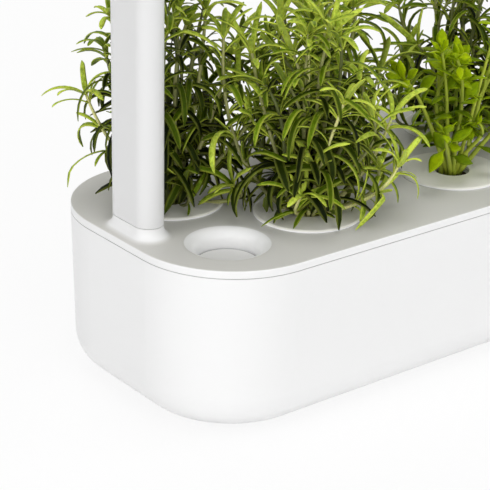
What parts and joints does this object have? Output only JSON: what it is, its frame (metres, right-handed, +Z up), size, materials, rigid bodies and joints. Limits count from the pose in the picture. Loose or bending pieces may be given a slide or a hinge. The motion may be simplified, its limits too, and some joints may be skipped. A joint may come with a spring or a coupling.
{
  "type": "countertop hydroponic garden",
  "caption": "Countertop hydroponic garden: water tank with planting deck, lift-out plant cups with herbs, filling basin with level float, and grow lamp on lift-off arms.",
  "frame": {"origin": "on the ground, under the middle of the garden", "axes": "+X along the garden, to the right when the filling basin is at the front left; +Y to the back; +Z up"},
  "size_m": [0.5904, 0.185, 0.4019],
  "materials": {
    "shell_white": "satin white",
    "deck_grey": "satin, very light warm grey",
    "float_white": "satin",
    "cage_white": "satin",
    "foam": "closed-cell foam, fine grain",
    "foot_rubber": "matte",
    "cup_white": "satin",
    "soil": "rough dark growing medium",
    "rosemary_leaf": "leafy, soft sheen",
    "basil_leaf": "leafy, soft sheen",
    "diffuser": "frosted",
    "heat_sink": "plain extruded",
    "led_board": "white solder mask",
    "led": "phosphor yellow",
    "driver_board": "green solder mask",
    "wire": "insulated wire",
    "switch_black": "moulded black",
    "plunger": "moulded",
    "button": "satin light grey",
    "screw": "plated steel"
  },
  "bodies": {
    "base": {"water_tank": "shell_white", "rubber_foot_1": "foot_rubber", "rubber_foot_2": "foot_rubber", "rubber_foot_3": "foot_rubber", "rubber_foot_4": "foot_rubber", "rubber_foot_5": "foot_rubber", "rubber_foot_6": "foot_rubber"},
    "deck": {"deck_cover": "deck_grey", "float_cage": "cage_white"},
    "float": {"float_disc": "float_white", "float_buoy": "foam"},
    "cup_back_1": {"cup_back_1": "cup_white", "pod_back_1": "soil", "rosemary_back_1": "rosemary_leaf"},
    "cup_back_2": {"cup_back_2": "cup_white", "pod_back_2": "soil", "rosemary_back_2": "rosemary_leaf"},
    "cup_back_3": {"cup_back_3": "cup_white", "pod_back_3": "soil", "rosemary_back_3": "rosemary_leaf"},
    "cup_back_4": {"cup_back_4": "cup_white", "pod_back_4": "soil", "basil_back_4": "basil_leaf"},
    "cup_back_5": {"cup_back_5": "cup_white", "pod_back_5": "soil", "rosemary_back_5": "rosemary_leaf"},
    "cup_front_1": {"cup_front_1": "cup_white", "pod_front_1": "soil", "rosemary_front_1": "rosemary_leaf"},
    "cup_front_2": {"cup_front_2": "cup_white", "pod_front_2": "soil", "basil_front_2": "basil_leaf"},
    "cup_front_3": {"cup_front_3": "cup_white", "pod_front_3": "soil", "rosemary_front_3": "rosemary_leaf"},
    "cup_front_4": {"cup_front_4": "cup_white", "pod_front_4": "soil", "basil_front_4": "basil_leaf"},
    "lower_arms": {"lower_arm_left": "shell_white", "lower_arm_right": "shell_white"},
    "upper_arms": {"upper_arm_left": "shell_white", "upper_arm_right": "shell_white"},
    "lamp": {"lamp_housing": "shell_white", "lamp_base": "shell_white", "lamp_diffuser": "diffuser", "heat_sink": "heat_sink", "led_board": "led_board", "leds": "led", "driver_board": "driver_board", "led_wires": "wire", "timer_switch": "switch_black", "power_inlet": "switch_black", "base_screws": "screw", "board_screws": "screw"},
    "button": {"push_button": "button", "switch_plunger": "plunger"}
  },
  "joints": [
    {"name": "deck_lift", "type": "slide", "parent": "base", "child": "deck", "axis": [0, 0, 1], "range_m": [0, 0.075]},
    {"name": "float_rise", "type": "slide", "parent": "deck", "child": "float", "axis": [0, 0, 1], "range_m": [0, 0.011]},
    {"name": "cup_back_1_lift", "type": "slide", "parent": "deck", "child": "cup_back_1", "axis": [0, 0, 1], "range_m": [0, 0.066]},
    {"name": "cup_back_2_lift", "type": "slide", "parent": "deck", "child": "cup_back_2", "axis": [0, 0, 1], "range_m": [0, 0.066]},
    {"name": "cup_back_3_lift", "type": "slide", "parent": "deck", "child": "cup_back_3", "axis": [0, 0, 1], "range_m": [0, 0.066]},
    {"name": "cup_back_4_lift", "type": "slide", "parent": "deck", "child": "cup_back_4", "axis": [0, 0, 1], "range_m": [0, 0.066]},
    {"name": "cup_back_5_lift", "type": "slide", "parent": "deck", "child": "cup_back_5", "axis": [0, 0, 1], "range_m": [0, 0.066]},
    {"name": "cup_front_1_lift", "type": "slide", "parent": "deck", "child": "cup_front_1", "axis": [0, 0, 1], "range_m": [0, 0.066]},
    {"name": "cup_front_2_lift", "type": "slide", "parent": "deck", "child": "cup_front_2", "axis": [0, 0, 1], "range_m": [0, 0.066]},
    {"name": "cup_front_3_lift", "type": "slide", "parent": "deck", "child": "cup_front_3", "axis": [0, 0, 1], "range_m": [0, 0.066]},
    {"name": "cup_front_4_lift", "type": "slide", "parent": "deck", "child": "cup_front_4", "axis": [0, 0, 1], "range_m": [0, 0.066]},
    {"name": "lower_arms_lift", "type": "slide", "parent": "deck", "child": "lower_arms", "axis": [0, 0, 1], "range_m": [0, 0.028]},
    {"name": "upper_arms_lift", "type": "slide", "parent": "lower_arms", "child": "upper_arms", "axis": [0, 0, 1], "range_m": [0, 0.028]},
    {"name": "lamp_lift", "type": "slide", "parent": "upper_arms", "child": "lamp", "axis": [0, 0, 1], "range_m": [0, 0.028]},
    {"name": "button_press", "type": "slide", "parent": "lamp", "child": "button", "axis": [0, 0, -1], "range_m": [0, 0.0008], "stiffness_N_per_m": 800, "springref_m": -0.0005}
  ]
}
